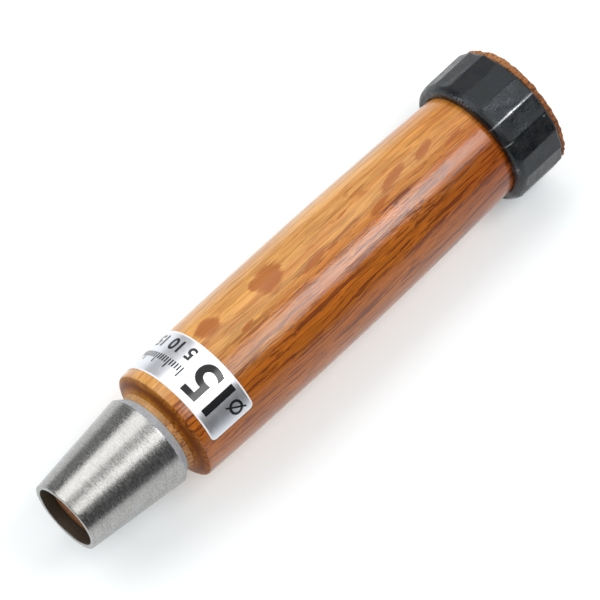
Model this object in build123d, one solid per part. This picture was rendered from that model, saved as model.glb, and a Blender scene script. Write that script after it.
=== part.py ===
"""Replacement handle for a struck bench tool, such as a Japanese bench chisel.

A turned wooden handle carries a conical steel ferrule pressed on a tapered tenon at the front,
a hammered iron striking hoop at the back, and a foil label wrapped round the front of the grip.
The wood is mushroomed over the hoop's back face, so the hoop stays on. The ferrule pulls off.

Millimetres. +X runs along the axis from the ferrule's mouth to the struck end, and +Z is up.
The origin is the centre of the ferrule's mouth.
"""

from build123d import *
from math import cos, radians, sin, sqrt, tan
import os

# Ferrule: a turned steel cone with its narrow mouth forwards, bored to a slower taper.
MOUTH_R = 7.5
MOUTH_WALL = 1.05
MOUTH_OUTER_ROUND = 0.3
MOUTH_INNER_ROUND = 0.2
FERRULE_CONE_END = 21.1
FERRULE_CONE_R = 9.82
FERRULE_END = 22.95
FERRULE_END_R = 8.45
FERRULE_BORE_END_R = 7.85

# Tenon: the tapered front of the wood. It fills the ferrule, apart from a short recess.
TENON_START = 2.5
TENON_CLEARANCE = 0.05
SEAT_GAP = 0.02

# Tang hole: a blind hole drilled into the tenon's end for the blade's tang.
TANG_HOLE_R = 3.0
TANG_HOLE_DEPTH = 45.0
DRILL_TIP_ANGLE = 118.0

# The wood between the ferrule and the grip: a collar, a steep shoulder and a chamfer.
COLLAR_END = 23.98
COLLAR_END_R = 8.78
SHOULDER_END = 25.4
SHOULDER_END_R = 11.85
GRIP_START = 25.55

# Grip: a barrel whose side is one long arc.
GRIP_MAX_R = 12.33
GRIP_MAX_AT = 58.0
GRIP_ARC_R = 1300.0

# Striking hoop: a short iron ring hammered to flats, which crowd together on one side.
HOOP_START = 106.5
HOOP_LENGTH = 11.2
HOOP_BORE_R = 11.4
HOOP_CORNER_R = 13.85
HOOP_FLATS = 20
HOOP_FIRST_CORNER = 4.0
HOOP_CROWDING = 5.0
HOOP_EDGE_CHAMFER = 0.35

# Struck end: the wood stands proud of the hoop and spreads over its back face.
HEAD_R = 13.4
HEAD_PROUD = 1.4
HEAD_ROUND = 0.6

# Label: foil wrapped part of the way round the grip. Angles run from +Z towards -Y.
LABEL_START = 27.36
LABEL_END = 37.68
LABEL_FROM_ANGLE = -80.0
LABEL_TO_ANGLE = 62.0
LABEL_THICKNESS = 0.1
LABEL_CORNER_R = 1.0

TENON_END = FERRULE_END + SEAT_GAP
HOOP_END = HOOP_START + HOOP_LENGTH
HEAD_END = HOOP_END + HEAD_PROUD
MOUTH_BORE_R = MOUTH_R - MOUTH_WALL


def bore_radius(x):
    """The radius of the ferrule's tapered bore at x."""
    return MOUTH_BORE_R + (FERRULE_BORE_END_R - MOUTH_BORE_R) * x / FERRULE_END


def grip_radius(x):
    """The radius of the grip's side at x."""
    return GRIP_MAX_R - GRIP_ARC_R + sqrt(GRIP_ARC_R**2 - (x - GRIP_MAX_AT) ** 2)


def grip_arc(x_from, x_to, proud=0.0):
    """The grip's side from one x to another, standing proud of the wood."""
    stations = (x_from, (x_from + x_to) / 2, x_to)
    return ThreePointArc(*((x, grip_radius(x) + proud) for x in stations))


def turn(outline, angle=360.0):
    """The solid that a closed outline of edges, x along and y outwards, makes about the X axis."""
    return revolve(make_face(outline), Axis.X, angle)


def edges_at(solid, x):
    """The solid's edges that lie in the plane at x, widest first."""
    flat = [edge for edge in solid.edges() if edge.bounding_box().size.X < 1e-6]
    here = [edge for edge in flat if abs(edge.bounding_box().min.X - x) < 1e-4]
    return sorted(here, key=lambda edge: -edge.radius)


def make_ferrule():
    """A conical steel sleeve with a bevelled back and a rounded mouth."""
    corners = [
        (0, MOUTH_BORE_R),
        (0, MOUTH_R),
        (FERRULE_CONE_END, FERRULE_CONE_R),
        (FERRULE_END, FERRULE_END_R),
        (FERRULE_END, FERRULE_BORE_END_R),
    ]
    sleeve = turn(Polyline(*corners, close=True).edges())
    sleeve = fillet(edges_at(sleeve, 0)[0], MOUTH_OUTER_ROUND)
    return fillet(edges_at(sleeve, 0)[-1], MOUTH_INNER_ROUND)


def make_handle():
    """The turned wood: tenon, collar, shoulder, grip, hoop seat and mushroomed head."""
    front = [
        (TENON_START, 0),
        (TENON_START, bore_radius(TENON_START) - TENON_CLEARANCE),
        (TENON_END, FERRULE_BORE_END_R - TENON_CLEARANCE),
        (TENON_END, FERRULE_END_R),
        (COLLAR_END, COLLAR_END_R),
        (SHOULDER_END, SHOULDER_END_R),
        (GRIP_START, grip_radius(GRIP_START)),
    ]
    back = [
        (HOOP_START, grip_radius(HOOP_START)),
        (HOOP_START, HOOP_BORE_R),
        (HOOP_END, HOOP_BORE_R),
        (HOOP_END, HEAD_R),
        (HEAD_END, HEAD_R),
        (HEAD_END, 0),
        (TENON_START, 0),
    ]
    outline = [*Polyline(*front).edges(), grip_arc(GRIP_START, HOOP_START), *Polyline(*back).edges()]
    wood = turn(outline)
    wood = fillet(edges_at(wood, HEAD_END)[0], HEAD_ROUND)
    return wood - make_tang_hole()


def make_tang_hole():
    """The drilled hole, with the cone that the drill's tip leaves."""
    hole_end = TENON_START + TANG_HOLE_DEPTH
    tip_length = TANG_HOLE_R / tan(radians(DRILL_TIP_ANGLE / 2))
    corners = [
        (0, 0),
        (0, TANG_HOLE_R),
        (hole_end, TANG_HOLE_R),
        (hole_end + tip_length, 0),
    ]
    return turn(Polyline(*corners, close=True).edges())


def hoop_corner(index):
    """A corner between two flats, as (y, z), from its angle round the hoop."""
    even = radians(HOOP_FIRST_CORNER + index * 360 / HOOP_FLATS)
    angle = even + radians(HOOP_CROWDING) * sin(even / 2) ** 2
    return (-HOOP_CORNER_R * sin(angle), HOOP_CORNER_R * cos(angle))


def make_hoop():
    """The hammered ring, with worn edges, bored to fit the wood."""
    corners = [hoop_corner(index) for index in range(HOOP_FLATS)]
    blank = Plane.YZ.offset(HOOP_START) * Polyline(*corners, close=True)
    ring = extrude(make_face(blank.edges()), HOOP_LENGTH)
    ring = chamfer(ring.faces().sort_by(Axis.X)[0].edges(), HOOP_EDGE_CHAMFER)
    ring = chamfer(ring.faces().sort_by(Axis.X)[-1].edges(), HOOP_EDGE_CHAMFER)
    bore = Plane.YZ.offset(HOOP_START) * Circle(HOOP_BORE_R)
    return ring - extrude(bore, HOOP_LENGTH)


def make_label():
    """The foil, curved to the grip, with its corners rounded."""
    inner = grip_arc(LABEL_START, LABEL_END)
    outer = grip_arc(LABEL_START, LABEL_END, LABEL_THICKNESS)
    ends = [Line(inner @ 0, outer @ 0), Line(inner @ 1, outer @ 1)]
    strip = turn([inner, outer, *ends], LABEL_TO_ANGLE - LABEL_FROM_ANGLE)
    corners = [edge for edge in strip.edges() if edge.length < 2 * LABEL_THICKNESS]
    # The outline starts on +Y, which is 90 degrees before +Z.
    return fillet(corners, LABEL_CORNER_R).rotate(Axis.X, 90 + LABEL_FROM_ANGLE)


NODES = {
    "handle": make_handle,
    "ferrule": make_ferrule,
    "striking_hoop": make_hoop,
    "label": make_label,
}

os.makedirs("parts", exist_ok=True)
for name, make in NODES.items():
    export_step(make(), f"parts/{name}.step")
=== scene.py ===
"""Looks of a bench chisel's handle: detailed meshes, materials, camera and light round the CAD frame.

+X runs from the ferrule's mouth to the struck end. Angles round the axis run from +Z towards -Y, in
degrees. The handle's sizes are in mm, which MM turns into metres. The floor and lights are in metres.
"""

import math

import bmesh
import bpy
import numpy as np
from mathutils import Matrix, Vector, noise


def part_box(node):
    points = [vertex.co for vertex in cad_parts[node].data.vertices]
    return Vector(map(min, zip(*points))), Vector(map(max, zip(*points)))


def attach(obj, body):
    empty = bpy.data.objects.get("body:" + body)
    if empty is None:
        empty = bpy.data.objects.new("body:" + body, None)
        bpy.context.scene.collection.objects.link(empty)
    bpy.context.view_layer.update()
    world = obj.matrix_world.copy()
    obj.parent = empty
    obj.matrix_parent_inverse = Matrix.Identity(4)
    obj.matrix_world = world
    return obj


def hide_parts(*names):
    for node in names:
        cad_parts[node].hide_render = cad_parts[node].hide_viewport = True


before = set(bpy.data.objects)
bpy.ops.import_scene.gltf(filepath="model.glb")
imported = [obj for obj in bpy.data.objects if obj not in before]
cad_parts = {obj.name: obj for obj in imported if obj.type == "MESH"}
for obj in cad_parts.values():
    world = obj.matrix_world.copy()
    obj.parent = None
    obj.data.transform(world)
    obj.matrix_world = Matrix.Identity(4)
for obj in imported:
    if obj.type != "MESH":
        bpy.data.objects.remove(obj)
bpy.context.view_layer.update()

MM = 0.001


def node_ends(node):
    """Where a CAD node starts and ends along X, in mm."""
    return [round(corner.x / MM, 3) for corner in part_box(node)]


TENON_START, HEAD_END = node_ends("handle")
FERRULE_END = node_ends("ferrule")[1]
HOOP_START, HOOP_END = node_ends("striking_hoop")
LABEL_START, LABEL_END = node_ends("label")

# Closer than this counts as touching.
TOUCHING = 0.01

# Camera: where it looks, from which side, how far off in metres, and its lens.
AIM = Vector((60.9, 0.19, 0.065)) * MM
VIEW_AZIMUTH = -45.88
VIEW_ELEVATION = 63.08
VIEW_DISTANCE = 0.7249
LENS_MM = 235.4
SENSOR_MM = 36.0
NEAREST = 0.01

# Light that comes from everywhere, and painted light: a glow from the floor, which is no lamp.
STUDIO_COLOUR = (0.94, 0.97, 1.0, 1)
STUDIO_GLOW = 0.11
FLOOR_GLOW_COLOUR = (0.86, 0.96, 1.0, 1)
FLOOR_GLOW = 0.27
FLOOR_HALF_SIDE = 1.5

# Grip: a barrel whose side is one long arc, as in the CAD model, with an eased edge at the hoop.
GRIP_MAX_R = 12.33
GRIP_MAX_AT = 58.0
GRIP_ARC_R = 1300.0
GRIP_START = 26.0
GRIP_ROWS = 140
GRIP_EASED_END = 0.3
GRIP_UNEVEN = 0.012

# Wood in front of the grip: the tenon with the tang's hole, the collar and the shoulder.
TENON_START_R = 6.55
TENON_END = 22.97
TENON_END_R = 7.80
TANG_HOLE_R = 3.0
TANG_HOLE_END = 47.5
TANG_HOLE_TIP = 49.3
COLLAR_START_R = 8.45
COLLAR_END = 23.98
COLLAR_END_R = 8.78
SHOULDER_END = 25.4
SHOULDER_END_R = 11.85

# Struck end: beaten wood spread over the hoop, which bulges most at one angle.
HEAD_R = 13.4
HEAD_BULGE = 0.3
HEAD_BULGE_ANGLE = -18.0
HEAD_BULGE_WIDTH = 28.0
SPREAD_WIDTH = 1.2
PORES_PER_MM = 2.2
HANDLE_SEGMENTS = 384

# How far its lip's lobes, fibres and tears stand out and back, and its face's dents and pores go in.
LOBES_OUT = 0.16
FIBRES_OUT = 0.20
TEARS_OUT = 0.22
LIP_IN = 0.1
LOBES_BACK = 0.14
TEARS_BACK = 0.18
DENTS = 0.07
PORES = 0.035
FACE_IN = 0.06

# Ferrule.
MOUTH_R = 7.5
MOUTH_BORE_R = 6.45
MOUTH_EASED_LENGTH = 0.9
FERRULE_CONE_END = 21.1
FERRULE_CONE_R = 9.82
FERRULE_END_R = 8.45
FERRULE_BORE_END_R = 7.85
RIM_LENGTH = 0.6
RIM_UNEVEN = 0.03
LATHE_RIDGE = 0.004
LATHE_RIDGES = 7.0
FERRULE_SEGMENTS = 256

# Striking hoop: flats hammered on a ring, which is beaten rounder at its front.
HOOP_BORE_R = 11.4
HOOP_CORNER_R = 13.85
HOOP_FLATS = 20
HOOP_FIRST_CORNER = 4.0
HOOP_CROWDING = 5.0
HOOP_EDGE = 0.42
HOOP_ROUND_LENGTH = 2.2
HOOP_ROUND_DEPTH = 0.75
HOOP_ROWS = 30
HOOP_BORE_EDGE = 0.25
HOOP_TILT = 0.12
HOOP_DISH = 0.03
HOOP_DISH_VARIES = 0.02
FRONT_EDGE_VARIES = 0.35
BACK_EDGE_VARIES = 0.45
HAMMER_MARKS = 0.03
HAMMERED_IN = 0.02

# The columns of points across each flat, as shares of its width. Its corners and edges are worn down.
FLAT_COLUMNS = (0.0, 0.025, 0.06, 0.12, 0.22, 0.36, 0.5, 0.64, 0.78, 0.88, 0.94, 0.975)
WORN_CORNER = 0.04
WORN_EDGE = 0.0625
WORN_DEPTH = 0.03

# Label: foil with rounded corners and a pale border, whose rim is pressed down on the wood.
LABEL_FROM_ANGLE = -80.0
LABEL_TO_ANGLE = 61.3
LABEL_THICKNESS = 0.1
LABEL_CORNER_R = 1.0
LABEL_BORDER = 0.3
LABEL_RIM_DROP = 0.035
LABEL_UNDERSIDE = 0.004
LABEL_RIPPLE = 0.006
LABEL_ROWS = 90
LABEL_COLUMNS = 24

# Ink on the label.
INK_HEIGHT = 0.012
INK_CLEARANCE = 0.014
INK_BEND_STEP = 0.3
DIGIT_SHARE_OF_FONT = 0.7

# Printed numbers: (text, height, boldness, letter spacing, x of its foot, angle of its left side).
PRINTED_NUMBERS = [
    ("15", 7.4, 0.42, 0.85, 36.2, 38.0),
    ("5", 2.6, 0.2, 1.0, 36.3, -8.0),
    ("10", 2.6, 0.2, 1.0, 36.3, -24.0),
    ("15", 2.6, 0.2, 1.0, 36.3, -47.0),
]

# Printed scale: ticks that run round the label, every so many of them long.
TICKS = 21
TICK_FROM_ANGLE = -6.0
TICK_STEP = 3.2
TICK_FOOT = 32.2
TICK_WIDTH = 0.3
TICK_HEIGHT = 1.3
LONG_TICK_HEIGHT = 2.3
LONG_TICK_EVERY = 5

# Printed diameter sign: a ring with a bar across it.
SIGN_R = 1.45
SIGN_STROKE = 0.5
SIGN_STEPS = 48
SIGN_BAR = [(0.1, -0.4), (0.5, -0.4), (2.8, 3.3), (2.4, 3.3)]
SIGN_FOOT = 36.0
SIGN_FROM_ANGLE = 57.0

# Places rubbed bare on the hoop: (x from its front, angle, half length, half width, strength).
WORN_SPOTS = [
    (5.6, 22.2, 9.0, 0.25, 1.0),
    (4.8, 22.2, 1.7, 0.8, 0.62),
    (0.3, -12.0, 0.3, 4.2, 0.7),
    (0.8, 40.8, 1.2, 0.2, 0.9),
    (10.0, 42.0, 0.5, 0.3, 0.8),
    (0.2, 67.0, 0.4, 1.6, 0.6),
    (0.3, 120.0, 0.5, 2.6, 0.9),
    (6.0, 136.0, 5.0, 0.2, 0.7),
    (11.0, 160.0, 0.5, 3.4, 0.9),
    (0.3, 205.0, 0.5, 2.2, 0.8),
    (5.0, 245.0, 6.0, 0.2, 0.8),
    (11.0, 262.0, 0.5, 2.4, 0.9),
    (10.9, -40.0, 0.4, 2.2, 0.7),
]

# Ray flecks on the wood's edge-sawn side: (x, angle, half length, half width, slant).
RAY_FLECKS = [
    (41.1, -21.0, 2.6, 2.0, 0.0),
    (46.0, 4.5, 1.6, 0.4, 0.1),
    (53.4, -20.0, 1.6, 1.3, 0.1),
    (55.9, -16.0, 3.2, 2.9, 0.3),
    (64.1, 2.0, 3.2, 0.6, 0.1),
    (68.6, 3.0, 1.4, 0.3, 0.0),
    (74.5, -13.0, 1.5, 0.3, 0.1),
    (80.8, 4.0, 2.6, 0.55, 0.1),
    (86.8, -7.0, 3.7, 0.95, 0.2),
    (94.8, -7.0, 2.6, 1.0, 0.28),
    (100.8, 3.0, 2.3, 0.45, 0.15),
]

# Dark streaks in the wood: (waves per mm along each axis, noise where they begin, offset).
STREAKS = [
    ((0.040, 1.2, 1.2), 0.525, (4, 12, 5)),
    ((0.09, 2.6, 2.6), 0.54, (21, 3, 8)),
]

# The tree's growth rings are cut flat on the side at this angle and on edge at 90 degrees to it.
FLAT_SAWN_ANGLE = 72.0
PITH_DISTANCE = 58.0
RING_WIDTH = 2.3

# The lacquered wood turns darker from here to the hoop.
DARKENS_FROM = 82.0

# Softboxes: (name, angle, distance, width, lowest x, highest x, radiance), in metres.
SOFTBOXES = [
    ("left_near_ferrule", -29, 0.9, 0.60, -0.95, 0.25, 2.5),
    ("left_near_hoop", -31, 0.9, 0.60, 0.25, 1.15, 1.5),
    ("top_near_ferrule", 25, 1.2, 0.50, -0.80, 0.30, 2.1),
    ("top_near_hoop", 23, 1.2, 0.54, 0.30, 0.445, 5.2),
    ("top_past_hoop", 23, 1.2, 0.54, 0.445, 0.72, 11.0),
    ("ceiling_glow", 1, 1.3, 0.50, -0.55, 1.35, 0.7),
    ("side_near_ferrule", -76, 0.9, 0.46, -0.95, 0.25, 0.22),
    ("side_near_hoop", -66, 0.9, 0.56, 0.25, 1.15, 0.60),
]

# The materials of the wood, the ferrule and the label, in the order that each piece holds them.
LACQUERED, BARE, SHOULDER, BEATEN = range(4)
TURNED, GROUND, BORED = range(3)
FOIL, BORDER = range(2)


# ---------------------------------------------------------------- shapes


def grip_radius(x):
    """The grip's radius at x."""
    return GRIP_MAX_R - GRIP_ARC_R + math.sqrt(GRIP_ARC_R**2 - (x - GRIP_MAX_AT) ** 2)


def around(x, r, angle):
    """The point, in metres, at x, a distance off the axis and an angle round it."""
    turned = math.radians(angle)
    return Vector((x, -r * math.sin(turned), r * math.cos(turned))) * MM


def nearness(angle, centre, width):
    """1 at an angle and falling off either side of it."""
    away = (angle - centre + 180) % 360 - 180
    return math.exp(-((away / width) ** 2))


def wander(*place):
    """Smooth noise between about -1 and 1, the same on every run."""
    return noise.noise(Vector(place))


def wander_round(x, angle, along, across, seed):
    """Noise over a turned surface with no seam: along and across are its waves per mm and per radian."""
    turned = math.radians(angle)
    return wander(x * along + seed, across * math.sin(turned), across * math.cos(turned))


def spaced(points, step):
    """The points of an outline with more put between them, no further apart than step."""
    found = [points[0]]
    for start, end in zip(points, points[1:]):
        count = max(1, math.ceil(math.dist(start, end) / step))
        for index in range(1, count + 1):
            share = index / count
            found.append(tuple(a + (b - a) * share for a, b in zip(start, end)))
    return found


def rounded(points, radius, steps=4):
    """The outline with its inner corners turned into short curves."""
    found = [points[0]]
    for before, corner, after in zip(points, points[1:], points[2:]):
        before, corner, after = Vector(before), Vector(corner), Vector(after)
        back = (before - corner).normalized() * min(radius, (before - corner).length / 2)
        on = (after - corner).normalized() * min(radius, (after - corner).length / 2)
        for index in range(steps + 1):
            share = index / steps
            bend = (1 - share) ** 2 * back + share**2 * on
            found.append(tuple(corner + bend))
    found.append(points[-1])
    return found


def closed_mesh(name, points, faces):
    """A mesh with its faces turned outwards."""
    mesh = bpy.data.meshes.new(name)
    mesh.from_pydata(points, [], faces)
    made = bmesh.new()
    made.from_mesh(mesh)
    bmesh.ops.recalc_face_normals(made, faces=made.faces)
    made.to_mesh(mesh)
    made.free()
    return mesh


def turned_mesh(name, outline, segments, shape, closed):
    """A surface turned about X. shape(x, r, angle) moves each point. An open outline ends on the axis."""
    angles = [360 * index / segments for index in range(segments)]
    rings = outline if closed else outline[1:-1]
    points = [around(*shape(x, r, angle)) for x, r in rings for angle in angles]
    faces = []
    last = len(rings) if closed else len(rings) - 1
    for ring in range(last):
        here = ring * segments
        there = (ring + 1) % len(rings) * segments
        for index in range(segments):
            after = (index + 1) % segments
            faces.append((here + index, here + after, there + after, there + index))
    if not closed:
        for end, ring in ((outline[0], 0), (outline[-1], len(rings) - 1)):
            pole = len(points)
            points.append(Vector((end[0] * MM, 0, 0)))
            base = ring * segments
            for index in range(segments):
                face = (pole, base + index, base + (index + 1) % segments)
                faces.append(face if ring else face[::-1])
    return closed_mesh(name, points, faces)


def add_piece(mesh, body, sharp_angle, node=None):
    """Links a mesh as a smooth piece, sharp only past an angle, that rides on a body for a CAD node."""
    mesh.validate()
    for face in mesh.polygons:
        face.use_smooth = True
    mesh.set_sharp_from_angle(angle=math.radians(sharp_angle))
    piece = bpy.data.objects.new(mesh.name, mesh)
    bpy.context.scene.collection.objects.link(piece)
    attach(piece, body)
    if node:
        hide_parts(node)


def dress(mesh, materials, look):
    """Gives each face the material that look(x, r, angle) picks for the face's middle."""
    for material in materials:
        mesh.materials.append(material)
    for face in mesh.polygons:
        x, y, z = (value / MM for value in face.center)
        face.material_index = look(x, math.hypot(y, z), math.degrees(math.atan2(-y, z)))


# ---------------------------------------------------------------- wood


def handle_outline():
    """From the bottom of the tang hole, out over the tenon and grip, to the middle of the struck end."""
    front = [
        (TANG_HOLE_TIP, 0),
        (TANG_HOLE_END, TANG_HOLE_R),
        (TENON_START, TANG_HOLE_R),
        (TENON_START, TENON_START_R),
        (TENON_END, TENON_END_R),
        (TENON_END, COLLAR_START_R),
        (COLLAR_END, COLLAR_END_R),
    ]
    shoulder = [
        (COLLAR_END, COLLAR_END_R),
        (SHOULDER_END, SHOULDER_END_R),
        (GRIP_START, grip_radius(GRIP_START)),
    ]
    grip_stations = np.linspace(GRIP_START, HOOP_START - GRIP_EASED_END, GRIP_ROWS)
    grip = [(x, grip_radius(x)) for x in grip_stations]
    seat = [(HOOP_START, HOOP_BORE_R), (HOOP_END, HOOP_BORE_R)]
    lip = [
        (HOOP_END, HEAD_R - 0.3),
        (HOOP_END + 0.2, HEAD_R),
        (HOOP_END + 0.9, HEAD_R),
        (HEAD_END - 0.1, HEAD_R - 0.5),
        (HEAD_END, HEAD_R - 1.3),
    ]
    front = spaced(front, step=1.2)
    shoulder = spaced(rounded(shoulder, radius=0.16), step=0.15)
    lip = spaced([seat[-1], *rounded(lip, radius=0.2)], step=0.14)
    face = spaced([lip[-1], (HEAD_END, 0)], step=0.3)
    return [*front, *shoulder[1:], *grip[1:], *seat, *lip[1:], *face[1:]]


def shape_handle(x, r, angle):
    """A grip that isn't quite even, and beaten, fibrous wood at the struck end."""
    if x > HOOP_END - TOUCHING and r > HOOP_BORE_R + 0.05:
        spread = min(1.0, (r - HOOP_BORE_R) / SPREAD_WIDTH)
        lobes = wander_round(0, angle, along=0, across=2.6, seed=3.0)
        fibres = wander_round(x, angle, along=2.2, across=30.0, seed=7.0)
        tears = wander_round(x, angle, along=1.2, across=10.0, seed=11.0)
        bulge = HEAD_BULGE * nearness(angle, HEAD_BULGE_ANGLE, HEAD_BULGE_WIDTH)
        r += spread * (LOBES_OUT * lobes + FIBRES_OUT * fibres + TEARS_OUT * tears - LIP_IN)
        if x > HOOP_END + 0.5:
            x += spread * (LOBES_BACK * lobes + TEARS_BACK * tears + bulge)
    if x > HEAD_END - 0.3:
        turned = math.radians(angle)
        dents = wander_round(r * 0.35, angle, along=1.0, across=1.7, seed=19.0)
        pores = wander(5.0 + r * math.cos(turned) * PORES_PER_MM, r * math.sin(turned) * PORES_PER_MM, 1.0)
        x += DENTS * dents + PORES * pores - FACE_IN
    elif SHOULDER_END + 1 < x < HOOP_START - 0.5:
        r += GRIP_UNEVEN * wander_round(x, angle, along=0.06, across=1.4, seed=23.0)
    return x, r, angle


def wood_look(x, r, angle):
    """Lacquer on the grip, oak with painted shade on the shoulder, and bare or beaten wood on the rest."""
    in_hole = r < TANG_HOLE_R + TOUCHING
    if x > HOOP_END - TOUCHING:
        return BEATEN
    if x < TENON_START + 0.05 and not in_hole:
        return BEATEN
    if x < COLLAR_END or in_hole:
        return BARE
    if x < SHOULDER_END - 0.05:
        return SHOULDER
    return LACQUERED


def make_handle():
    """The wood, in one piece."""
    mesh = turned_mesh("handle_wood", handle_outline(), HANDLE_SEGMENTS, shape_handle, closed=False)
    add_piece(mesh, "handle_body", sharp_angle=50, node="handle")
    dress(mesh, (lacquered_oak(), bare_oak(), shoulder_oak(), beaten_oak()), wood_look)


# ---------------------------------------------------------------- ferrule


def ferrule_outline():
    """The steel's section, round from the bore's front edge over the outside to the bore's back."""
    corners = [
        (MOUTH_EASED_LENGTH, MOUTH_BORE_R + 0.05),
        (0.0, MOUTH_BORE_R + 0.08),
        (0.0, MOUTH_R - 0.02),
        (MOUTH_EASED_LENGTH, MOUTH_R + 0.1),
        (FERRULE_CONE_END, FERRULE_CONE_R),
        (FERRULE_END, FERRULE_END_R),
        (FERRULE_END, FERRULE_BORE_END_R),
        (FERRULE_END - 0.6, FERRULE_BORE_END_R - 0.03),
    ]
    outside = spaced(rounded(corners, radius=0.16), step=0.45)
    bore = spaced([outside[-1], outside[0]], step=1.0)
    return [*outside, *bore[1:-1]]


def shape_ferrule(x, r, angle):
    """A rim that isn't quite even, and faint ridges from the lathe."""
    if x < RIM_LENGTH:
        x += RIM_UNEVEN * wander_round(0, angle, along=0, across=2.2, seed=31.0)
    r += LATHE_RIDGE * math.sin(x * LATHE_RIDGES)
    return x, r, angle


def ferrule_look(x, r, angle):
    """Turned outside, ground at the bevel and dull in the bore."""
    wall_middle = (MOUTH_R + MOUTH_BORE_R) / 2 + (FERRULE_END_R - MOUTH_R) * x / FERRULE_END
    if x > 0.1 and r < wall_middle:
        return BORED
    return GROUND if x > FERRULE_CONE_END else TURNED


def make_ferrule():
    """The steel sleeve, which pulls off the tenon."""
    mesh = turned_mesh("ferrule_steel", ferrule_outline(), FERRULE_SEGMENTS, shape_ferrule, closed=True)
    add_piece(mesh, "ferrule_body", sharp_angle=60, node="ferrule")
    dress(mesh, (turned_steel(), ground_steel(), bored_steel()), ferrule_look)


# ---------------------------------------------------------------- hoop


def hoop_corner_angle(index):
    """The angle of a corner between two flats, which crowd together on one side."""
    even = math.radians(HOOP_FIRST_CORNER + index * 360 / HOOP_FLATS)
    return math.degrees(even + math.radians(HOOP_CROWDING) * math.sin(even / 2) ** 2)


def hoop_columns():
    """(angle, outer radius, share of the way across its flat, flat) round the hoop."""
    columns = []
    for flat in range(HOOP_FLATS):
        start, end = hoop_corner_angle(flat), hoop_corner_angle(flat + 1)
        half = math.radians(end - start) / 2
        across = HOOP_CORNER_R * math.cos(half)
        for share in FLAT_COLUMNS:
            r = across / math.cos((2 * share - 1) * half)
            corner = max(0.0, 1 - min(share, 1 - share) / WORN_CORNER)
            columns.append((start + (end - start) * share, r - WORN_DEPTH * corner**2, share, flat))
    return columns


def wear_at(x, angle):
    """How far the black scale is rubbed off the hoop, from 0 to 1."""
    found = 0.0
    for along, centre, half_length, half_width, strength in WORN_SPOTS:
        width = math.degrees(half_width / HOOP_CORNER_R)
        lengthways = ((x - HOOP_START - along) / half_length) ** 2
        found = max(found, strength * nearness(angle, centre, width) * math.exp(-lengthways))
    return found


def hoop_column(angle, r, share, flat):
    """The hoop's section at an angle, from its front bore edge round the outside to its back, as (x, r)."""
    tilt = HOOP_TILT * wander(flat * 3.7, 1.5, 0.3)
    dish = HOOP_DISH + HOOP_DISH_VARIES * wander(flat * 2.3, 9.1, 0.7)
    front_varies = FRONT_EDGE_VARIES * wander_round(0, angle, along=0, across=4.0, seed=41.0)
    back_varies = BACK_EDGE_VARIES * wander_round(0, angle, along=0, across=4.0, seed=43.0)
    front = HOOP_EDGE * (1 + front_varies)
    back = HOOP_EDGE * (1 + back_varies)
    front_r = HOOP_CORNER_R - HOOP_ROUND_DEPTH
    column = [
        (HOOP_START + HOOP_BORE_EDGE, HOOP_BORE_R),
        (HOOP_START, HOOP_BORE_R + HOOP_BORE_EDGE),
        (HOOP_START, (HOOP_BORE_R + r) / 2),
        (HOOP_START, front_r - front),
        (HOOP_START + front * 0.3, front_r - front * 0.3),
    ]
    for index in range(HOOP_ROWS + 1):
        along = index / HOOP_ROWS
        x = HOOP_START + front + (HOOP_END - HOOP_START - front - back) * along
        hollow = dish * 16 * share * (1 - share) * along * (1 - along)
        marks = HAMMER_MARKS * wander_round(x, angle, along=0.45, across=7.0, seed=47.0) - HAMMERED_IN
        edge = max(0.0, 1 - min(along, 1 - along) / WORN_EDGE)
        flat_r = r + tilt * (2 * along - 1) - hollow + marks - WORN_DEPTH * edge**2
        fade = max(0.0, 1 - (x - HOOP_START) / HOOP_ROUND_LENGTH)
        column.append((x, min(flat_r, HOOP_CORNER_R - HOOP_ROUND_DEPTH * fade**2)))
    column += [
        (HOOP_END - back * 0.35, r - back * 0.5),
        (HOOP_END, r - back * 1.25),
        (HOOP_END, (HOOP_BORE_R + r) / 2),
        (HOOP_END, HOOP_BORE_R),
    ]
    return column


def make_hoop():
    """The hammered ring, with how worn each point is kept for its material."""
    places = []
    columns = hoop_columns()
    for angle, r, share, flat in columns:
        places += [(x, radius, angle) for x, radius in hoop_column(angle, r, share, flat)]
    per = len(places) // len(columns)
    faces = []
    for one in range(len(columns)):
        two = (one + 1) % len(columns)
        for index in range(per):
            after = (index + 1) % per
            faces.append((one * per + index, two * per + index, two * per + after, one * per + after))
    mesh = closed_mesh("striking_hoop_iron", [around(*place) for place in places], faces)
    wear = [wear_at(x, angle) for x, radius, angle in places]
    mesh.attributes.new("wear", "FLOAT", "POINT").data.foreach_set("value", wear)
    add_piece(mesh, "handle_body", sharp_angle=12, node="striking_hoop")
    mesh.materials.append(black_iron())


# ---------------------------------------------------------------- label


LABEL_MEAN_R = grip_radius((LABEL_START + LABEL_END) / 2)
LABEL_ARC = math.radians(LABEL_TO_ANGLE - LABEL_FROM_ANGLE) * LABEL_MEAN_R


def on_grip(x, angle, height):
    """A point standing a height off the grip."""
    return around(x, grip_radius(x) + height, angle)


def label_inset(arc):
    """How far the label's side is drawn in by its rounded corner, at a distance from its end."""
    if arc >= LABEL_CORNER_R:
        return 0.0
    return LABEL_CORNER_R - math.sqrt(LABEL_CORNER_R**2 - (LABEL_CORNER_R - arc) ** 2)


def label_grid():
    """The label's rows, as distances round from one end, and its columns, as shares of its width."""
    corner = [LABEL_CORNER_R * (1 - math.cos(math.radians(turned))) for turned in range(0, 90, 9)]
    rows = [*corner, *np.linspace(LABEL_CORNER_R, LABEL_ARC - LABEL_CORNER_R, LABEL_ROWS)]
    rows += [LABEL_ARC - arc for arc in reversed(corner)]
    columns = [0.0, 0.012, 0.03, *np.linspace(0.1, 0.9, LABEL_COLUMNS), 0.97, 0.988, 1.0]
    return rows, columns


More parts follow.
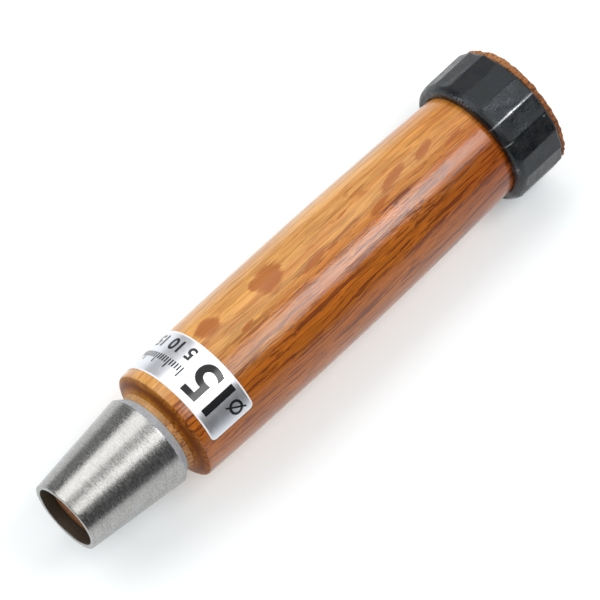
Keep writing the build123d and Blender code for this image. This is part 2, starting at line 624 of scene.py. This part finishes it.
def label_points(rows, columns):
    """The points of the top sheet, rippled and pressed down at its rim, and then of the bottom one."""
    points = []
    for is_top in (True, False):
        for row, arc in enumerate(rows):
            inset = label_inset(min(arc, LABEL_ARC - arc))
            angle = LABEL_FROM_ANGLE + math.degrees(arc / LABEL_MEAN_R)
            for column, share in enumerate(columns):
                x = LABEL_START + inset + (LABEL_END - LABEL_START - 2 * inset) * share
                height = LABEL_UNDERSIDE
                if is_top:
                    on_rim = row in (0, len(rows) - 1) or column in (0, len(columns) - 1)
                    ripple = LABEL_RIPPLE * wander_round(x, angle, along=0.25, across=3.5, seed=53.0)
                    height = LABEL_THICKNESS - (LABEL_RIM_DROP if on_rim else 0.0) + ripple
                points.append(on_grip(x, angle, height))
    return points


def label_faces(long, wide):
    """The faces of two sheets, a number of rows long and columns wide, and of the wall between them."""
    sheet = long * wide
    faces = []
    for row in range(long - 1):
        for column in range(wide - 1):
            first = row * wide + column
            quad = (first, first + 1, first + wide + 1, first + wide)
            faces.append(quad)
            faces.append(tuple(sheet + corner for corner in reversed(quad)))
    border = list(range(wide))
    border += [row * wide + wide - 1 for row in range(1, long)]
    border += [(long - 1) * wide + column for column in range(wide - 2, -1, -1)]
    border += [row * wide for row in range(long - 2, 0, -1)]
    for one, two in zip(border, border[1:] + border[:1]):
        faces.append((two, one, sheet + one, sheet + two))
    return faces


def label_look(x, r, angle):
    """Silver inside a pale border."""
    from_side = min(x - LABEL_START, LABEL_END - x)
    from_end = math.radians(min(angle - LABEL_FROM_ANGLE, LABEL_TO_ANGLE - angle)) * LABEL_MEAN_R
    into_corner = math.hypot(max(0.0, LABEL_CORNER_R - from_side), max(0.0, LABEL_CORNER_R - from_end))
    by_edge = min(from_side, from_end) < LABEL_BORDER
    by_corner = into_corner > LABEL_CORNER_R - LABEL_BORDER
    return BORDER if by_edge or by_corner else FOIL


def make_label():
    """Thin foil bent round the grip."""
    rows, columns = label_grid()
    faces = label_faces(len(rows), len(columns))
    mesh = closed_mesh("label_foil", label_points(rows, columns), faces)
    add_piece(mesh, "handle_body", sharp_angle=60, node="label")
    dress(mesh, (silver_foil(), pale_border()), label_look)


# ---------------------------------------------------------------- print


def flat_text(text, height, boldness, spacing):
    """A bmesh of a number lying in its own plane, x along the line and y up."""
    curve = bpy.data.curves.new("number", "FONT")
    curve.body = text
    curve.size = height / DIGIT_SHARE_OF_FONT
    curve.offset = boldness / 2
    curve.space_character = spacing
    curve.extrude = INK_HEIGHT / 2
    curve.resolution_u = 8
    holder = bpy.data.objects.new("number", curve)
    bpy.context.scene.collection.objects.link(holder)
    bpy.context.view_layer.update()
    graph = bpy.context.evaluated_depsgraph_get()
    mesh = bpy.data.meshes.new_from_object(holder.evaluated_get(graph), depsgraph=graph)
    made = bmesh.new()
    made.from_mesh(mesh)
    bpy.data.objects.remove(holder)
    bpy.data.curves.remove(curve)
    bpy.data.meshes.remove(mesh)
    return made


def slab(made, outline):
    """Adds a flat closed slab with the given outline to a bmesh."""
    half = INK_HEIGHT / 2
    low = [made.verts.new((x, y, -half)) for x, y in outline]
    high = [made.verts.new((x, y, half)) for x, y in outline]
    made.faces.new(high)
    made.faces.new(low[::-1])
    for index in range(len(outline)):
        after = (index + 1) % len(outline)
        made.faces.new((low[index], low[after], high[after], high[index]))


def flat_sign():
    """A bmesh of the diameter sign, its ring made of slabs side by side."""
    made = bmesh.new()
    inner = SIGN_R - SIGN_STROKE
    for step in range(SIGN_STEPS):
        one, two = (math.tau * (step + more) / SIGN_STEPS for more in (0, 1))
        corners = [(SIGN_R, one), (SIGN_R, two), (inner, two), (inner, one)]
        outline = [(r * math.cos(turned), r * math.sin(turned)) for r, turned in corners]
        slab(made, [(SIGN_R + x, SIGN_R + y) for x, y in outline])
    slab(made, SIGN_BAR)
    return made


def flat_tick(height):
    """A bmesh of one of the scale's ticks."""
    made = bmesh.new()
    slab(made, [(0, 0), (TICK_WIDTH, 0), (TICK_WIDTH, height), (0, height)])
    return made


def wrap(made, foot_x, from_angle):
    """Bends a flat bmesh, x along the line and y up, round the grip over the label."""
    low = min(point.co.x for point in made.verts)
    high = max(point.co.x for point in made.verts)
    for cut in np.arange(low + INK_BEND_STEP, high, INK_BEND_STEP):
        every = [*made.verts, *made.edges, *made.faces]
        bmesh.ops.bisect_plane(made, geom=every, plane_co=(cut, 0, 0), plane_no=(1, 0, 0))
    base = LABEL_THICKNESS + INK_HEIGHT / 2 + INK_CLEARANCE
    for point in made.verts:
        x = foot_x - point.co.y
        angle = from_angle - math.degrees((point.co.x - low) / grip_radius(x))
        point.co = on_grip(x, angle, base + point.co.z)


def make_print():
    """Black ink on the label: the size, a diameter sign and a scale with its numbers."""
    parts = []
    for text, height, boldness, spacing, foot_x, angle in PRINTED_NUMBERS:
        parts.append((flat_text(text, height, boldness, spacing), foot_x, angle))
    parts.append((flat_sign(), SIGN_FOOT, SIGN_FROM_ANGLE))
    for index in range(TICKS):
        height = TICK_HEIGHT if index % LONG_TICK_EVERY else LONG_TICK_HEIGHT
        parts.append((flat_tick(height), TICK_FOOT, TICK_FROM_ANGLE - index * TICK_STEP))
    whole = bmesh.new()
    for made, foot_x, angle in parts:
        wrap(made, foot_x, angle)
        mesh = bpy.data.meshes.new("part")
        made.to_mesh(mesh)
        made.free()
        whole.from_mesh(mesh)
        bpy.data.meshes.remove(mesh)
    mesh = bpy.data.meshes.new("label_print")
    whole.to_mesh(mesh)
    whole.free()
    add_piece(mesh, "handle_body", sharp_angle=60)
    mesh.materials.append(black_ink())


# ---------------------------------------------------------------- materials


def new_material(name):
    """A material with one shader, as (material, node tree, shader)."""
    material = bpy.data.materials.new(name)
    material.use_nodes = True
    tree = material.node_tree
    tree.nodes.clear()
    output = tree.nodes.new("ShaderNodeOutputMaterial")
    shader = tree.nodes.new("ShaderNodeBsdfPrincipled")
    tree.links.new(shader.outputs[0], output.inputs["Surface"])
    return material, tree, shader


def feed(tree, socket, value):
    """Sets a socket to a value or links it to another node's output."""
    if isinstance(value, bpy.types.NodeSocket):
        tree.links.new(value, socket)
    else:
        socket.default_value = value


def add(tree, kind, *values, **settings):
    """A node with its inputs fed in order and its settings set."""
    node = tree.nodes.new(kind)
    for key, value in settings.items():
        setattr(node, key, value)
    for socket, value in zip(node.inputs, values):
        feed(tree, socket, value)
    return node


def calc(tree, operation, *values):
    """What a sum on numbers gives."""
    return add(tree, "ShaderNodeMath", *values, operation=operation).outputs[0]


def calc_each(tree, operation, one, two):
    """What a sum on each of two vectors' numbers gives."""
    return add(tree, "ShaderNodeVectorMath", one, two, operation=operation).outputs[0]


def remap(tree, value, low, high, to_low=0.0, to_high=1.0, smooth=True):
    """value from low..high to to_low..to_high, held within them."""
    node = add(tree, "ShaderNodeMapRange", value, low, high, to_low, to_high)
    node.interpolation_type = "SMOOTHSTEP" if smooth else "LINEAR"
    return node.outputs[0]


def blend(tree, share, one, two, how="MIX"):
    """Colour one turned into colour two by a share."""
    node = add(tree, "ShaderNodeMix", data_type="RGBA", blend_type=how)
    factor, first, second = (node.inputs[index] for index in (0, 6, 7))
    feed(tree, factor, share)
    feed(tree, first, one)
    feed(tree, second, two)
    return node.outputs[2]


def brighten(tree, colour, tone):
    """The colour multiplied by a number."""
    grey = add(tree, "ShaderNodeCombineXYZ", tone, tone, tone).outputs[0]
    return blend(tree, 1.0, colour, grey, "MULTIPLY")


def bumped(tree, shader, height, depth, socket="Normal"):
    """Roughens the shader's surface by a height from 0 to 1 times a depth in metres."""
    bump = add(tree, "ShaderNodeBump")
    feed(tree, bump.inputs["Strength"], 1.0)
    feed(tree, bump.inputs["Distance"], depth)
    feed(tree, bump.inputs["Height"], height)
    feed(tree, shader.inputs[socket], bump.outputs[0])


def stretched(tree, place, waves, detail=2.0, roughness=0.5, offset=(0, 0, 0), output=0):
    """Noise from 0 to 1 with its own number of waves per mm along each axis."""
    mapped = add(tree, "ShaderNodeMapping", place, offset, (0, 0, 0), waves)
    node = add(tree, "ShaderNodeTexNoise", mapped.outputs[0], noise_dimensions="3D")
    node.inputs["Scale"].default_value = 1.0
    node.inputs["Detail"].default_value = detail
    node.inputs["Roughness"].default_value = roughness
    return node.outputs[output]


def millimetres(tree):
    """The point in the row frame, in mm."""
    where = add(tree, "ShaderNodeTexCoord").outputs["Object"]
    return calc_each(tree, "MULTIPLY", where, (1 / MM, 1 / MM, 1 / MM))


def ray_flecks(tree, place, ragged):
    """How much a point lies in one of the flecks, from 0 to 1."""
    x, y, z = add(tree, "ShaderNodeSeparateXYZ", place).outputs
    turned = calc(tree, "ARCTAN2", calc(tree, "MULTIPLY", y, -1.0), z)
    arc = calc(tree, "MULTIPLY", turned, GRIP_MAX_R)
    most = 0.0
    for centre, angle, half_length, half_width, slant in RAY_FLECKS:
        ahead = calc(tree, "SUBTRACT", x, centre)
        aside = calc(tree, "SUBTRACT", arc, math.radians(angle) * GRIP_MAX_R)
        aside = calc(tree, "MULTIPLY_ADD", ahead, slant, aside)
        along = calc(tree, "DIVIDE", ahead, half_length)
        across = calc(tree, "DIVIDE", aside, half_width)
        away = calc(tree, "MULTIPLY_ADD", along, along, calc(tree, "MULTIPLY", across, across))
        inside = remap(tree, calc(tree, "ADD", away, ragged), 1.45, 0.60)
        most = calc(tree, "MAXIMUM", most, inside)
    return most


class Grain:
    """Oak's figure, cut from the solid, so that it runs through the wood and shows as dots on its ends."""

    def __init__(self, tree):
        self.tree = tree
        self.place = millimetres(tree)
        turn = (math.radians(-FLAT_SAWN_ANGLE), 0, 0)
        turned = add(tree, "ShaderNodeMapping", self.place, (0, 0, 0), turn, (1, 1, 1)).outputs[0]
        swayed = self.sway(turned, waves=(0.022, 0.10, 0.10), amount=3.2)
        self.along = self.sway(swayed, waves=(0.11, 0.30, 0.30), amount=0.9)
        tangential, radial = add(tree, "ShaderNodeSeparateXYZ", self.along).outputs[1:]
        outwards = calc(tree, "ADD", radial, PITH_DISTANCE)
        from_pith = add(tree, "ShaderNodeCombineXYZ", 0.0, tangential, outwards).outputs[0]
        length = add(tree, "ShaderNodeVectorMath", from_pith, operation="LENGTH").outputs["Value"]
        self.patch = stretched(tree, self.along, (0.03, 0.25, 0.25), offset=(3, 7, 1))
        year = calc(tree, "MULTIPLY_ADD", self.patch, 1.4, calc(tree, "DIVIDE", length, RING_WIDTH))
        phase = calc(tree, "FRACT", year)
        self.early = calc(tree, "MULTIPLY", remap(tree, phase, 0.0, 0.08), remap(tree, phase, 0.42, 0.12))
        self.redder = remap(tree, calc(tree, "MULTIPLY_ADD", self.patch, 12.0, radial), 5.6, 16.4)
        self.fibre = stretched(tree, self.along, (0.10, 3.0, 3.0), detail=4.0, roughness=0.65)

    def sway(self, place, waves, amount):
        """The place moved sideways by slow noise, so that the grain wanders."""
        drift = stretched(self.tree, place, waves, output="Color")
        drift = calc_each(self.tree, "SUBTRACT", drift, (0.5, 0.5, 0.5))
        drift = calc_each(self.tree, "MULTIPLY", drift, (0.0, amount, amount))
        return calc_each(self.tree, "ADD", place, drift)

    def lines(self, waves, low, high, offset):
        """Long thin marks along the grain, from 0 to 1."""
        marks = stretched(self.tree, self.along, waves, detail=3.0, roughness=0.6, offset=offset)
        return remap(self.tree, marks, low, high)

    def roughness(self, low, high):
        """How rough the wood is, from its fibres."""
        return remap(self.tree, self.fibre, 0.2, 0.8, low, high)

    def by_redness(self, low, high):
        """A number that rises from the wood's pale side to its red side."""
        return remap(self.tree, self.redder, 0.0, 1.0, low, high)


def wood_colour(tree, grain, golden, russet, dark):
    """The colour of oak, from its pale side to its red side, with its streaks and pores."""
    colour = blend(tree, grain.redder, golden, russet)
    colour = brighten(tree, colour, remap(tree, grain.patch, 0.3, 0.7, 0.88, 1.14, smooth=False))
    tone = remap(tree, grain.fibre, 0.25, 0.75, -1.0, 1.0, smooth=False)
    colour = brighten(tree, colour, calc(tree, "MULTIPLY_ADD", tone, grain.by_redness(0.22, 0.42), 1.0))
    colour = blend(tree, calc(tree, "MULTIPLY", grain.early, 0.30), colour, russet)
    soft = grain.lines((0.030, 0.55, 0.55), 0.50, 0.68, (11, 2, 5))
    colour = blend(tree, calc(tree, "MULTIPLY", soft, 0.5), colour, russet)
    streak_share = grain.by_redness(0.26, 0.95)
    for waves, low, offset in STREAKS:
        streak = grain.lines(waves, low, low + 0.08, offset)
        colour = blend(tree, calc(tree, "MULTIPLY", streak, streak_share), colour, dark)
    pore = grain.lines((0.12, 4.6, 4.6), 0.58, 0.68, (5, 5, 9))
    pore_share = calc(tree, "MULTIPLY_ADD", grain.early, 0.35, grain.by_redness(0.12, 0.55))
    return blend(tree, calc(tree, "MULTIPLY", pore, pore_share), colour, dark)


def lacquered_oak():
    """Amber oak under a clear gloss, with broad ray flecks on its edge-sawn side."""
    material, tree, shader = new_material("lacquered_oak")
    golden = (0.70, 0.35, 0.092, 1)
    russet = (0.41, 0.110, 0.006, 1)
    dark = (0.16, 0.032, 0.003, 1)
    fleck_brown = (0.35, 0.085, 0.008, 1)
    tint_by_hoop = (0.84, 0.68, 0.42, 1)
    grain = Grain(tree)
    colour = wood_colour(tree, grain, golden, russet, dark)
    x = add(tree, "ShaderNodeSeparateXYZ", grain.place).outputs[0]
    colour = blend(tree, remap(tree, x, DARKENS_FROM, HOOP_START), colour, tint_by_hoop, "MULTIPLY")
    torn = stretched(tree, grain.along, (0.30, 2.0, 2.0), detail=4.0, roughness=0.65, offset=(1, 8, 2))
    fleck = ray_flecks(tree, grain.place, remap(tree, torn, 0.25, 0.75, -0.6, 0.6, smooth=False))
    thin = stretched(tree, grain.along, (0.16, 3.0, 0.12), detail=1.0)
    small_ray = remap(tree, thin, 0.66, 0.72, 0.0, 0.5)
    fleck = calc(tree, "MULTIPLY", calc(tree, "MAXIMUM", fleck, small_ray), 0.80)
    feed(tree, shader.inputs["Base Color"], blend(tree, fleck, colour, fleck_brown))
    feed(tree, shader.inputs["Roughness"], grain.roughness(0.45, 0.6))
    shader.inputs["Specular IOR Level"].default_value = 0.1
    shader.inputs["Coat Weight"].default_value = 0.85
    shader.inputs["Coat Roughness"].default_value = 0.12
    shader.inputs["Coat IOR"].default_value = 1.46
    bumped(tree, shader, grain.fibre, 0.00001)
    skin = stretched(tree, grain.along, (0.06, 1.6, 1.6), detail=4.0, roughness=0.6, offset=(4, 4, 4))
    bumped(tree, shader, skin, 0.00006, "Coat Normal")
    return material


def bare_oak():
    """Pale turned oak with no lacquer."""
    material, tree, shader = new_material("bare_oak")
    golden = (0.56, 0.30, 0.11, 1)
    russet = (0.50, 0.22, 0.06, 1)
    dark = (0.20, 0.06, 0.015, 1)
    grain = Grain(tree)
    feed(tree, shader.inputs["Base Color"], wood_colour(tree, grain, golden, russet, dark))
    feed(tree, shader.inputs["Roughness"], grain.roughness(0.55, 0.75))
    bumped(tree, shader, grain.fibre, 0.00005)
    return material


def shoulder_oak():
    """The shoulder's end grain, with painted shade that is darkest half-way up its steep face."""
    material, tree, shader = new_material("shoulder_oak")
    golden = (0.50, 0.20, 0.026, 1)
    russet = (0.42, 0.135, 0.012, 1)
    dark = (0.16, 0.036, 0.004, 1)
    painted_shade_brown = (0.175, 0.040, 0.0025, 1)
    grain = Grain(tree)
    colour = wood_colour(tree, grain, golden, russet, dark)
    x = add(tree, "ShaderNodeSeparateXYZ", grain.place).outputs[0]
    # Painted shade: the colour turns dark brown towards the middle of the steep face, where shade falls.
    from_middle = calc(tree, "ABSOLUTE", calc(tree, "SUBTRACT", x, (COLLAR_END + SHOULDER_END) / 2))
    ragged = calc(tree, "MULTIPLY_ADD", grain.patch, 0.5, from_middle)
    painted_shade = remap(tree, ragged, 0.85, 0.30, 0.15, 0.95)
    feed(tree, shader.inputs["Base Color"], blend(tree, painted_shade, colour, painted_shade_brown))
    feed(tree, shader.inputs["Roughness"], grain.roughness(0.3, 0.45))
    shader.inputs["Specular IOR Level"].default_value = 0.08
    bumped(tree, shader, grain.fibre, 0.00002)
    return material


def beaten_oak():
    """Cut and struck ends: crushed fibres, dirty and splintered."""
    material, tree, shader = new_material("beaten_oak")
    golden = (0.50, 0.21, 0.070, 1)
    russet = (0.42, 0.14, 0.035, 1)
    dark = (0.06, 0.018, 0.008, 1)
    crumb_brown = (0.14, 0.045, 0.016, 1)
    speck_black = (0.03, 0.012, 0.008, 1)
    grain = Grain(tree)
    colour = wood_colour(tree, grain, golden, russet, dark)
    crumbs = stretched(tree, grain.place, (2.4, 2.4, 2.4), detail=4.0, roughness=0.7)
    colour = blend(tree, remap(tree, crumbs, 0.46, 0.62, 0.0, 0.75), colour, crumb_brown)
    specks = stretched(tree, grain.place, (4.0, 4.0, 4.0), offset=(7, 3, 2))
    colour = blend(tree, remap(tree, specks, 0.60, 0.68, 0.0, 0.85), colour, speck_black)
    feed(tree, shader.inputs["Base Color"], colour)
    feed(tree, shader.inputs["Roughness"], remap(tree, crumbs, 0.2, 0.8, 0.65, 0.9))
    bumped(tree, shader, calc(tree, "ADD", crumbs, grain.fibre), 0.00025)
    return material


def machined_steel(name, dull, bright, roughness, metallic, depth):
    """Steel with a fine speckle drawn out round it by the lathe."""
    material, tree, shader = new_material(name)
    place = millimetres(tree)
    speckle = stretched(tree, place, (4.2, 1.7, 1.7), detail=4.0, roughness=0.7)
    lines = stretched(tree, place, (7.0, 0.25, 0.25), detail=3.0, roughness=0.6, offset=(6, 1, 3))
    mottle = stretched(tree, place, (0.4, 0.4, 0.4), detail=4.0, roughness=0.6, offset=(8, 8, 8))
    marks = calc(tree, "MULTIPLY_ADD", lines, 0.5, speckle)
    colour = blend(tree, remap(tree, marks, 0.5, 1.0, smooth=False), dull, bright)
    colour = brighten(tree, colour, remap(tree, mottle, 0.3, 0.7, 0.93, 1.07, smooth=False))
    feed(tree, shader.inputs["Base Color"], colour)
    feed(tree, shader.inputs["Roughness"], remap(tree, marks, 0.45, 1.05, *roughness))
    shader.inputs["Metallic"].default_value = metallic
    bumped(tree, shader, marks, depth)
    return material


def turned_steel():
    """The ferrule's bright outside."""
    dull = (0.23, 0.225, 0.215, 1)
    bright = (0.47, 0.465, 0.455, 1)
    roughness = (0.20, 0.34)
    return machined_steel("turned_steel", dull, bright, roughness, metallic=1.0, depth=0.000013)


def ground_steel():
    """The matt bevel at the ferrule's back."""
    dull = (0.34, 0.385, 0.42, 1)
    bright = (0.62, 0.68, 0.74, 1)
    roughness = (0.42, 0.6)
    return machined_steel("ground_steel", dull, bright, roughness, metallic=0.35, depth=0.000012)


def bored_steel():
    """The dull inside of the ferrule, painted dark brown as painted shade in the bore."""
    # Painted shade: both colours are far darker than steel and stand for the shade inside the bore.
    dull = (0.05, 0.04, 0.026, 1)
    bright = (0.12, 0.095, 0.07, 1)
    roughness = (0.5, 0.7)
    return machined_steel("bored_steel", dull, bright, roughness, metallic=0.5, depth=0.00003)


def black_iron():
    """Forged iron under black scale, rubbed bare where the wear attribute says."""
    material, tree, shader = new_material("black_iron")
    cold = (0.0035, 0.0045, 0.0065, 1)
    warm = (0.0065, 0.0065, 0.006, 1)
    flaked_grey = (0.03, 0.032, 0.038, 1)
    bare_grey = (0.38, 0.38, 0.40, 1)
    place = millimetres(tree)
    worn = add(tree, "ShaderNodeAttribute", attribute_name="wear").outputs["Fac"]
    patches = stretched(tree, place, (0.5, 0.5, 0.5), detail=4.0, roughness=0.65)
    scale = stretched(tree, place, (2.4, 2.4, 2.4), detail=5.0, roughness=0.65, offset=(2, 4, 6))
    scratches = stretched(tree, place, (0.5, 4.0, 4.0), detail=3.0, roughness=0.7, offset=(9, 3, 1))
    colour = blend(tree, remap(tree, patches, 0.38, 0.62), cold, warm)
    colour = blend(tree, remap(tree, scale, 0.56, 0.75, 0.0, 0.3), colour, flaked_grey)
    uneven = remap(tree, scale, 0.3, 0.7, -0.4, 0.4, smooth=False)
    rubbed = calc(tree, "MULTIPLY", remap(tree, calc(tree, "ADD", worn, uneven), 0.2, 0.9), worn)
    bare = calc(tree, "MAXIMUM", rubbed, remap(tree, scratches, 0.69, 0.74, 0.0, 0.3))
    texture = calc(tree, "ADD", scale, patches)
    feed(tree, shader.inputs["Base Color"], blend(tree, bare, colour, bare_grey))
    feed(tree, shader.inputs["Metallic"], calc(tree, "MULTIPLY", bare, 0.6))
    feed(tree, shader.inputs["Roughness"], remap(tree, texture, 0.8, 1.2, 0.24, 0.42))
    shader.inputs["IOR"].default_value = 1.44
    shader.inputs["Specular Tint"].default_value = (0.86, 0.93, 1.0, 1)
    bumped(tree, shader, calc(tree, "MULTIPLY_ADD", scale, 0.5, patches), 0.00005)
    return material


def silver_foil():
    """Silver foil, faintly brushed."""
    material, tree, shader = new_material("silver_foil")
    lines = stretched(tree, millimetres(tree), (6.0, 0.5, 0.5))
    colour = blend(tree, lines, (0.74, 0.75, 0.79, 1), (0.82, 0.83, 0.87, 1))
    feed(tree, shader.inputs["Base Color"], colour)
    feed(tree, shader.inputs["Roughness"], remap(tree, lines, 0.3, 0.7, 0.30, 0.38))
    shader.inputs["Metallic"].default_value = 1.0
    bumped(tree, shader, lines, 0.0000015)
    return material


def pale_border():
    """The foil's white printed border."""
    material, tree, shader = new_material("pale_border")
    grain = stretched(tree, millimetres(tree), (4.0, 4.0, 4.0))
    colour = blend(tree, grain, (0.80, 0.81, 0.84, 1), (0.90, 0.91, 0.93, 1))
    feed(tree, shader.inputs["Base Color"], colour)
    feed(tree, shader.inputs["Roughness"], remap(tree, grain, 0.3, 0.7, 0.35, 0.45))
    return material


def black_ink():
    """Glossy black ink."""
    material, tree, shader = new_material("black_ink")
    patch = stretched(tree, millimetres(tree), (3.0, 3.0, 3.0), detail=3.0, roughness=0.6)
    colour = blend(tree, patch, (0.006, 0.006, 0.007, 1), (0.014, 0.014, 0.015, 1))
    feed(tree, shader.inputs["Base Color"], colour)
    feed(tree, shader.inputs["Roughness"], remap(tree, patch, 0.3, 0.7, 0.14, 0.22))
    shader.inputs["IOR"].default_value = 1.5
    return material


def pale_paper():
    """White paper with a painted glow, as if lit a little from below, which keeps the shadows soft."""
    material, tree, shader = new_material("pale_paper")
    tooth = stretched(tree, millimetres(tree), (0.4, 0.4, 0.4), detail=3.0)
    colour = blend(tree, tooth, (0.79, 0.79, 0.79, 1), (0.81, 0.81, 0.81, 1))
    feed(tree, shader.inputs["Base Color"], colour)
    shader.inputs["Roughness"].default_value = 0.8
    shader.inputs["Specular IOR Level"].default_value = 0.2
    # Painted light: the paper glows, which lifts its shadows and lights the handle from below.
    shader.inputs["Emission Color"].default_value = FLOOR_GLOW_COLOUR
    shader.inputs["Emission Strength"].default_value = FLOOR_GLOW
    return material


# ---------------------------------------------------------------- stage, light and camera


def resting_line():
    """The floor's line under the handle: its slope, and the hoop's front lower edge, which it touches.

    It touches the grip's underside too, as the handle lies on its barrel and its hoop.
    """
    across = HOOP_CORNER_R * math.cos(math.radians(180 / HOOP_FLATS))
    edge = Vector((HOOP_START + HOOP_EDGE, across))
    centre = Vector((GRIP_MAX_AT, GRIP_MAX_R - GRIP_ARC_R))
    reach = edge - centre
    half = math.acos(GRIP_ARC_R / reach.length)
    upwards = math.atan2(reach.y, reach.x) + half
    return math.atan2(-math.cos(upwards), math.sin(upwards)), edge


def make_floor():
    """A plain sheet of paper under the handle, which glows a little."""
    slope, edge = resting_line()
    mesh = bpy.data.meshes.new("floor")
    made = bmesh.new()
    bmesh.ops.create_grid(made, x_segments=8, y_segments=8, size=FLOOR_HALF_SIDE)
    made.to_mesh(mesh)
    made.free()
    mesh.materials.append(pale_paper())
    floor = bpy.data.objects.new("floor", mesh)
    bpy.context.scene.collection.objects.link(floor)
    floor.location = (edge.x * MM, 0, -edge.y * MM)
    floor.rotation_euler = (0, -slope, 0)


def add_softbox(name, angle, distance, width, length, radiance, at_x):
    """A rectangular light facing the handle, at an angle round its axis."""
    light = bpy.data.lights.new(name, "AREA")
    light.shape = "RECTANGLE"
    light.size = length
    light.size_y = width
    light.energy = radiance * math.pi * width * length
    lamp = bpy.data.objects.new(name, light)
    bpy.context.scene.collection.objects.link(lamp)
    towards = around(0, 1 / MM, angle).normalized()
    place = Vector((at_x, 0, 0)) + towards * distance
    along = Vector((1, 0, 0))
    side = towards.cross(along)
    lamp.matrix_world = Matrix.Translation(place) @ Matrix((along, side, towards)).transposed().to_4x4()
    lamp.visible_camera = False


def make_light():
    """The softboxes, and a faint light from all round."""
    for name, angle, distance, width, low_x, high_x, radiance in SOFTBOXES:
        add_softbox(name, angle, distance, width, high_x - low_x, radiance, (low_x + high_x) / 2)
    world = bpy.data.worlds.new("studio")
    world.use_nodes = True
    bpy.context.scene.world = world
    background = world.node_tree.nodes["Background"]
    background.inputs["Color"].default_value = STUDIO_COLOUR
    background.inputs["Strength"].default_value = STUDIO_GLOW


def make_camera():
    """The camera, looking at its aim from its azimuth, elevation and distance."""
    azimuth = math.radians(VIEW_AZIMUTH)
    elevation = math.radians(VIEW_ELEVATION)
    level = math.cos(elevation)
    back = Vector((math.sin(azimuth) * level, -math.cos(azimuth) * level, math.sin(elevation)))
    data = bpy.data.cameras.new("camera")
    data.lens = LENS_MM
    data.sensor_width = SENSOR_MM
    data.clip_start = NEAREST
    camera = bpy.data.objects.new("camera", data)
    bpy.context.scene.collection.objects.link(camera)
    camera.location = AIM + back * VIEW_DISTANCE
    camera.rotation_euler = back.to_track_quat("Z", "Y").to_euler()
    bpy.context.scene.camera = camera


make_handle()
make_ferrule()
make_hoop()
make_label()
make_print()
make_floor()
make_light()
make_camera()
bpy.context.scene.view_settings.view_transform = "Standard"
